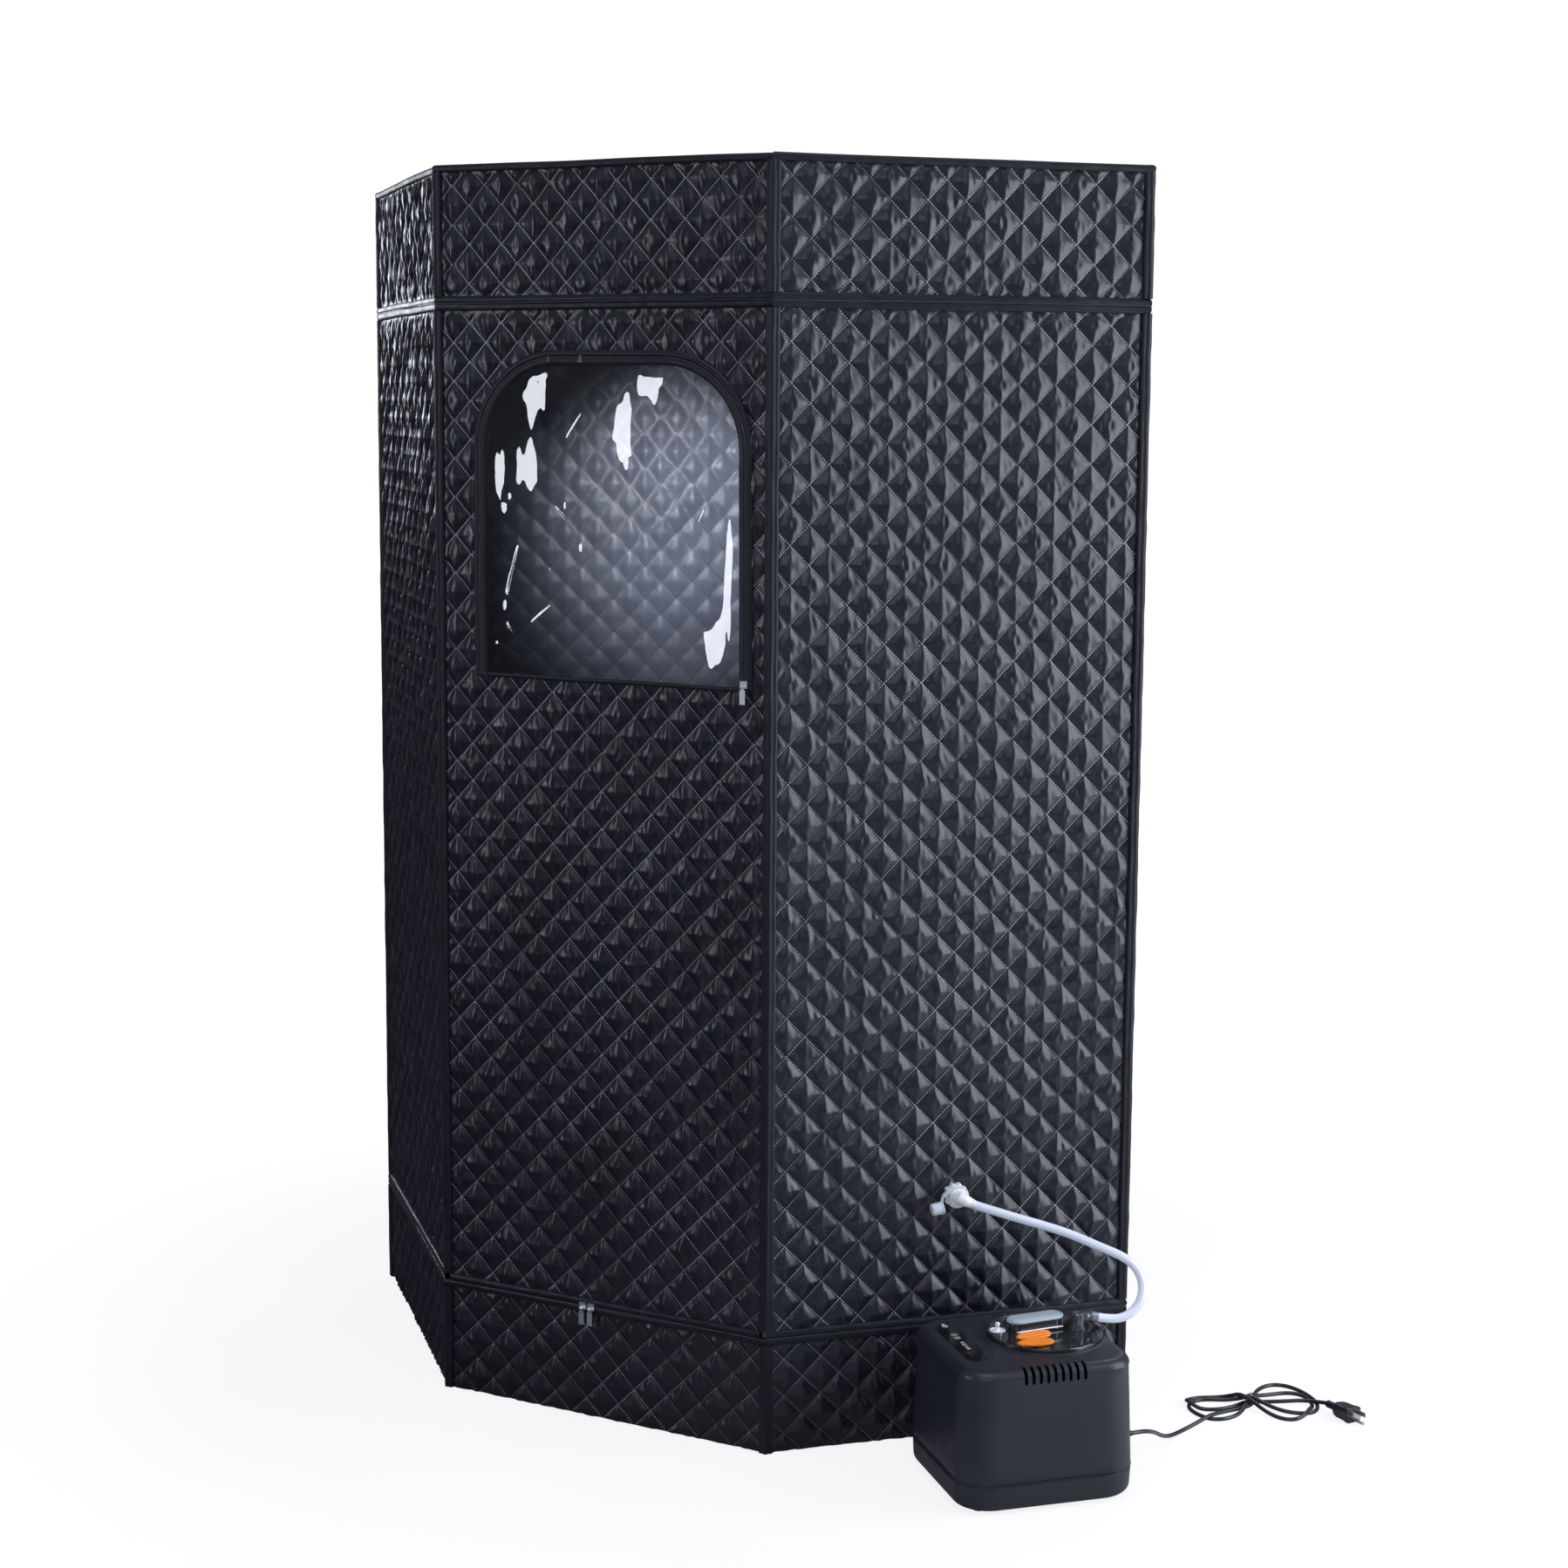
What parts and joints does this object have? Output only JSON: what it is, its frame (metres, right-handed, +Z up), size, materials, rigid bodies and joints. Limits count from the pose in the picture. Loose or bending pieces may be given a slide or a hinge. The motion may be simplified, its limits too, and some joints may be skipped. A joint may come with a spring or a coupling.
{
  "type": "portable steam sauna",
  "caption": "Tall quilted fabric cabin on a tube frame with a zipped lift-up door and clear window, fed by a hose from a small steam generator standing beside it.",
  "frame": {"origin": "on the floor, under the middle of the box round the cabin and the steam generator together", "axes": "+Z up, -Y out through the door, +X along the door towards the generator"},
  "size_m": [1.6455, 1.0958, 1.8001],
  "materials": {
    "quilt": "quilted satin polyester, dark navy",
    "binding": "woven binding tape",
    "zip_tape": "zip tape, satin",
    "floor_fabric": "coated polyester",
    "clear_film": "clear vinyl film",
    "zip_metal": "plated",
    "tube": "powder coated steel tube",
    "joint_plastic": "moulded",
    "inlet_white": "moulded",
    "clear_plastic": "clear moulded",
    "housing": "fine satin moulding",
    "foot": "matte",
    "stainless": "deep drawn",
    "seal": "silicone",
    "cast_plate": "cast",
    "smoky_clear": "smoky clear moulding",
    "cap_grey": "pale blue grey",
    "latch_orange": "moulded, ribbed",
    "panel_gloss": "gloss film",
    "display": "dark window",
    "key": "moulded",
    "board": "circuit board",
    "cable": "semi gloss",
    "tie": "wire tie",
    "blade": "nickel plated",
    "silicone": "translucent silicone"
  },
  "bodies": {
    "cabin": {"back_left_wall": "quilt", "back_right_wall": "quilt", "base_panels": "quilt", "base_zip_band": "zip_tape", "control_board": "board", "control_panel": "panel_gloss", "cord_gland": "cable", "cord_hank": "cable", "cord_tie": "tie", "corner_bindings": "binding", "corner_connectors": "joint_plastic", "display_window": "display", "floor_sheet": "floor_fabric", "frame_poles": "tube", "frame_rails": "tube", "header_panels": "quilt", "heating_plate": "cast_plate", "herb_box": "clear_plastic", "inlet_body": "inlet_white", "inlet_elbow": "clear_plastic", "inlet_nut": "inlet_white", "left_wall": "quilt", "plug_body": "cable", "plug_lead": "cable", "plug_prongs": "blade", "pole_sleeves": "joint_plastic", "power_cord": "cable", "right_wall": "quilt", "roof_edge_binding": "binding", "roof_panel": "quilt", "roof_zip_band": "zip_tape", "steam_hose": "silicone", "steam_lid": "smoky_clear", "steam_outlet": "clear_plastic", "steamer_base": "housing", "steamer_feet": "foot", "steamer_housing": "housing", "tank_seal": "seal", "water_tank": "stainless"},
    "door": {"door_panel": "quilt", "door_zip_tape": "zip_tape", "window_frame": "binding"},
    "window_flap": {"window_pane": "clear_film"},
    "door_left_slider": {"door_left_slider": "zip_metal"},
    "door_right_slider": {"door_right_slider": "zip_metal"},
    "window_slider": {"window_slider": "zip_metal"},
    "door_left_pull": {"door_left_pull": "zip_metal"},
    "door_right_pull": {"door_right_pull": "zip_metal"},
    "window_pull": {"window_pull": "zip_metal"},
    "inlet_cap": {"inlet_cap": "inlet_white"},
    "relief_valve": {"relief_valve": "inlet_white"},
    "herb_cap": {"herb_cap": "cap_grey"},
    "lid_latch": {"lid_latch": "latch_orange"},
    "power_key": {"power_key": "key"},
    "timer_key": {"timer_key": "key"},
    "heat_key": {"heat_key": "key"},
    "start_button": {"start_button": "panel_gloss"}
  },
  "joints": [
    {"name": "door_lift", "type": "hinge", "parent": "cabin", "child": "door", "pos_m": [-0.05599, -0.49345, 1.593], "axis": [-1, 0, 0], "range_deg": [0, 95]},
    {"name": "window_fold", "type": "hinge", "parent": "door", "child": "window_flap", "pos_m": [-0.03849, -0.49965, 1.085], "axis": [1, 0, 0], "range_deg": [0, 175]},
    {"name": "door_zip_left", "type": "slide", "parent": "door", "child": "door_left_slider", "axis": [-1, 0, 0], "range_m": [0, 0.225]},
    {"name": "door_zip_right", "type": "slide", "parent": "door", "child": "door_right_slider", "axis": [1, 0, 0], "range_m": [0, 0.27]},
    {"name": "window_zip", "type": "slide", "parent": "door", "child": "window_slider", "axis": [0, 0, 1], "range_m": [0, 0.25]},
    {"name": "door_left_pull_swing", "type": "hinge", "parent": "door_left_slider", "child": "door_left_pull", "pos_m": [-0.08449, -0.50565, 0.166], "axis": [-1, 0, 0], "range_deg": [0, 150]},
    {"name": "door_right_pull_swing", "type": "hinge", "parent": "door_right_slider", "child": "door_right_pull", "pos_m": [-0.07049, -0.50565, 0.166], "axis": [-1, 0, 0], "range_deg": [0, 150]},
    {"name": "window_pull_swing", "type": "hinge", "parent": "window_slider", "child": "window_pull", "pos_m": [0.17801, -0.50615, 1.088], "axis": [-1, 0, 0], "range_deg": [0, 150]},
    {"name": "inlet_cap_turn", "type": "hinge", "parent": "cabin", "child": "inlet_cap", "pos_m": [0.42475, -0.31254, 0.358], "axis": [0.7071, -0.7071, 0], "range_deg": [-60, 60]},
    {"name": "relief_lift", "type": "slide", "parent": "cabin", "child": "relief_valve", "axis": [0, 0, 1], "range_m": [0, 0.003]},
    {"name": "herb_cap_lift", "type": "slide", "parent": "cabin", "child": "herb_cap", "axis": [0, 0, 1], "range_m": [0, 0.025]},
    {"name": "latch_turn", "type": "hinge", "parent": "cabin", "child": "lid_latch", "pos_m": [0.58915, -0.41684, 0.205], "axis": [0, 0, 1], "range_deg": [0, 60]},
    {"name": "power_key_press", "type": "slide", "parent": "cabin", "child": "power_key", "axis": [0, 0, -1], "range_m": [0, 0.0005], "stiffness_N_per_m": 900},
    {"name": "timer_key_press", "type": "slide", "parent": "cabin", "child": "timer_key", "axis": [0, 0, -1], "range_m": [0, 0.0005], "stiffness_N_per_m": 900},
    {"name": "heat_key_press", "type": "slide", "parent": "cabin", "child": "heat_key", "axis": [0, 0, -1], "range_m": [0, 0.0005], "stiffness_N_per_m": 900},
    {"name": "start_press", "type": "slide", "parent": "cabin", "child": "start_button", "axis": [0, 0, -1], "range_m": [0, 0.001], "stiffness_N_per_m": 900}
  ]
}
